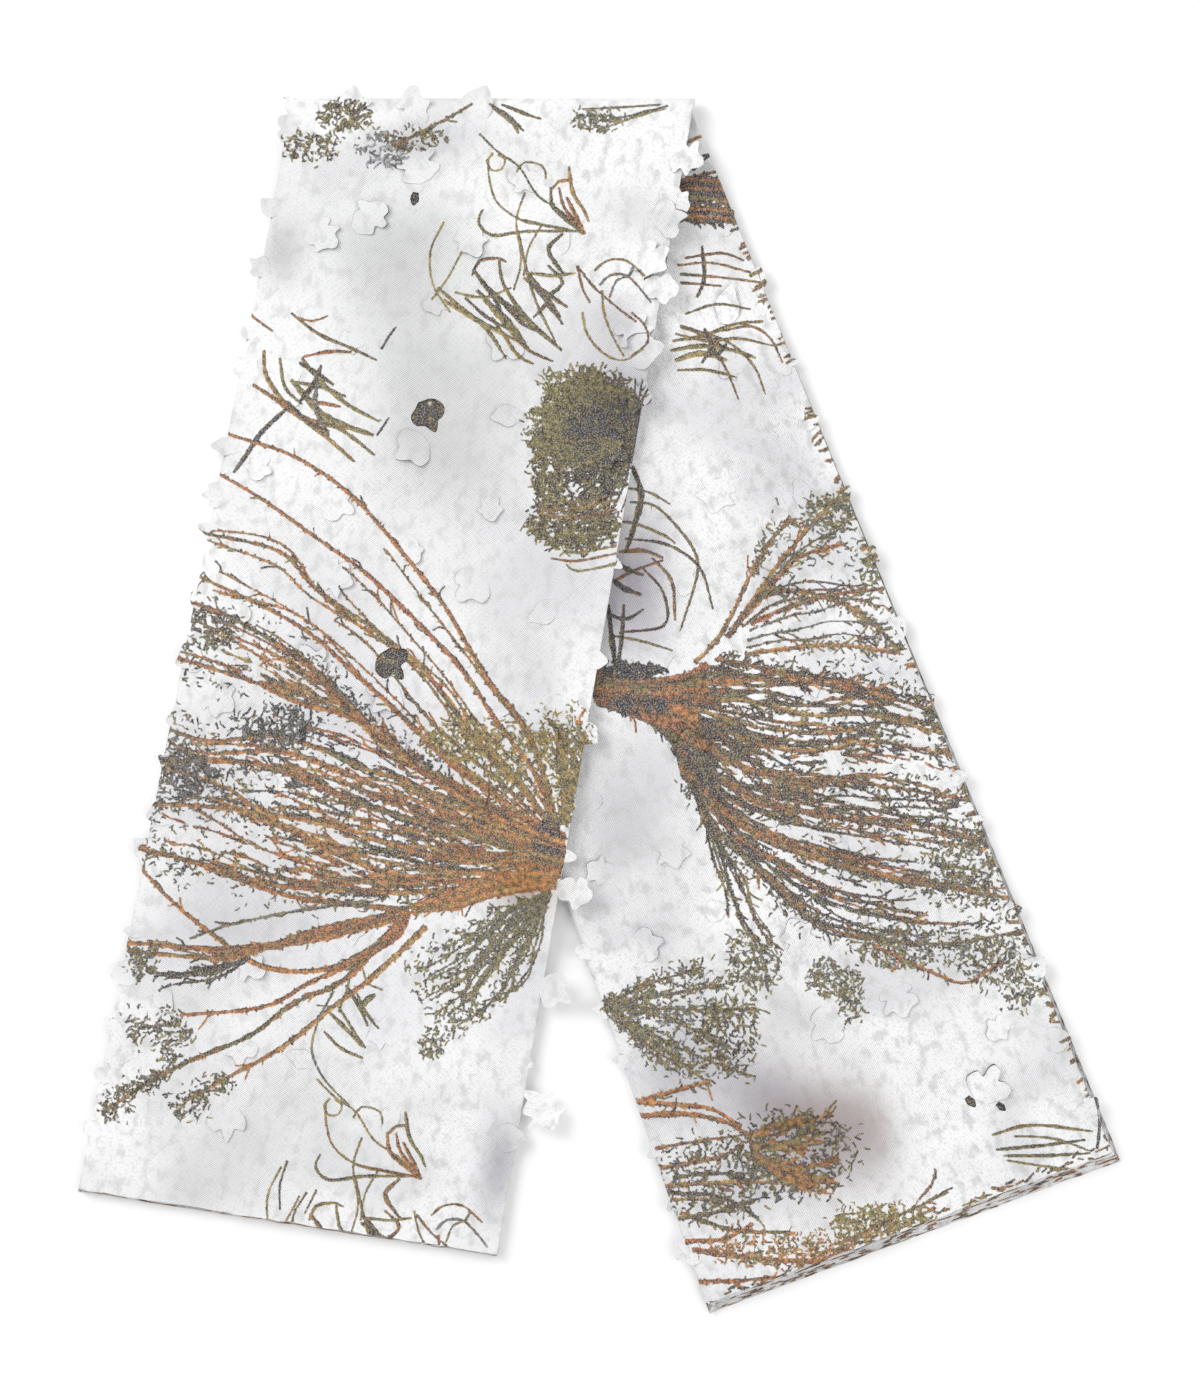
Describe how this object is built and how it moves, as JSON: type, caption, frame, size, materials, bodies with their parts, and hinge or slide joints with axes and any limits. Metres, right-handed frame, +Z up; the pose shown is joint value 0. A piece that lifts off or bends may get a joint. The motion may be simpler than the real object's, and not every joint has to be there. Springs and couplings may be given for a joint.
{
  "type": "leafy camouflage cloth",
  "caption": "Length of thin winter camouflage cloth with die-cut leaves, folded flat into two overlapping legs that hang from one top crease, for draping over a hunter or a blind.",
  "frame": {"origin": "on the floor under the middle of the folded bundle's box", "axes": "the bundle lies flat: +Y from the loose ends to the top crease, +Z up out of the cloth, +X across towards the back leg's side"},
  "size_m": [0.8584, 0.9984, 0.0244],
  "materials": {
    "leafy_cloth": "matte open-weave polyester, white with printed brown and orange brush",
    "leaf_cloth": "matte open-weave polyester, cut leaf"
  },
  "bodies": {
    "back_leg": {"back_ply_1": "leafy_cloth", "back_ply_2": "leafy_cloth", "back_ply_3": "leafy_cloth", "back_ply_4": "leafy_cloth", "back_ply_5": "leafy_cloth", "back_ply_6": "leafy_cloth", "back_ply_7": "leafy_cloth", "back_ply_8": "leafy_cloth", "crease_bend_1": "leafy_cloth", "crease_bend_2": "leafy_cloth", "crease_bend_3": "leafy_cloth", "crease_bend_4": "leafy_cloth", "crease_bend_5": "leafy_cloth", "crease_bend_6": "leafy_cloth", "crease_bend_7": "leafy_cloth", "crease_bend_8": "leafy_cloth"},
    "front_leg": {"front_ply_1": "leafy_cloth", "front_ply_2": "leafy_cloth", "front_ply_3": "leafy_cloth", "front_ply_4": "leafy_cloth", "front_ply_5": "leafy_cloth", "front_ply_6": "leafy_cloth", "front_ply_7": "leafy_cloth", "front_ply_8": "leafy_cloth"},
    "leaf_1": {"leaf_flap_1": "leaf_cloth"},
    "leaf_2": {"leaf_flap_2": "leaf_cloth"},
    "leaf_3": {"leaf_flap_3": "leaf_cloth"},
    "leaf_4": {"leaf_flap_4": "leaf_cloth"},
    "leaf_5": {"leaf_flap_5": "leaf_cloth"},
    "leaf_6": {"leaf_flap_6": "leaf_cloth"},
    "leaf_7": {"leaf_flap_7": "leaf_cloth"},
    "leaf_8": {"leaf_flap_8": "leaf_cloth"},
    "leaf_9": {"leaf_flap_9": "leaf_cloth"},
    "leaf_10": {"leaf_flap_10": "leaf_cloth"}
  },
  "joints": [
    {"name": "top_crease", "type": "hinge", "parent": "back_leg", "child": "front_leg", "pos_m": [-0.08867, 0.48749, 0.0117], "axis": [-1, 0, 0], "range_deg": [0, 180], "deforming": ["crease_bend_1", "crease_bend_2", "crease_bend_3", "crease_bend_4", "crease_bend_5", "crease_bend_6", "crease_bend_7", "crease_bend_8"]},
    {"name": "leaf_1_root", "type": "hinge", "parent": "front_leg", "child": "leaf_1", "pos_m": [-0.14258, 0.42882, 0.0238], "axis": [0.9063, 0.4226, 0], "range_deg": [0, 120]},
    {"name": "leaf_2_root", "type": "hinge", "parent": "front_leg", "child": "leaf_2", "pos_m": [-0.19994, 0.38908, 0.0238], "axis": [0.6428, -0.766, 0], "range_deg": [0, 120]},
    {"name": "leaf_3_root", "type": "hinge", "parent": "front_leg", "child": "leaf_3", "pos_m": [-0.14158, 0.2184, 0.0238], "axis": [-0.5736, 0.8192, 0], "range_deg": [0, 120]},
    {"name": "leaf_4_root", "type": "hinge", "parent": "front_leg", "child": "leaf_4", "pos_m": [-0.01402, 0.15696, 0.0238], "axis": [0.9659, -0.2588, 0], "range_deg": [0, 120]},
    {"name": "leaf_5_root", "type": "hinge", "parent": "front_leg", "child": "leaf_5", "pos_m": [-0.23229, 0.02372, 0.0118], "axis": [0.9397, 0.342, 0], "range_deg": [0, 120]},
    {"name": "leaf_6_root", "type": "hinge", "parent": "front_leg", "child": "leaf_6", "pos_m": [-0.16815, 0.01848, 0.0118], "axis": [-0.8192, 0.5736, 0], "range_deg": [0, 120]},
    {"name": "leaf_7_root", "type": "hinge", "parent": "front_leg", "child": "leaf_7", "pos_m": [-0.2535, -0.03389, 0.0118], "axis": [0.9962, 0.0872, 0], "range_deg": [0, 120]},
    {"name": "leaf_8_root", "type": "hinge", "parent": "back_leg", "child": "leaf_8", "pos_m": [0.10218, 0.31382, 0.0118], "axis": [0.9848, -0.1736, 0], "range_deg": [0, 120]},
    {"name": "leaf_9_root", "type": "hinge", "parent": "back_leg", "child": "leaf_9", "pos_m": [0.07665, -0.05034, 0.0118], "axis": [0.9848, 0.1736, 0], "range_deg": [0, 120]},
    {"name": "leaf_10_root", "type": "hinge", "parent": "back_leg", "child": "leaf_10", "pos_m": [0.31299, -0.3241, 0.0118], "axis": [0.9397, -0.342, 0], "range_deg": [0, 120]}
  ]
}
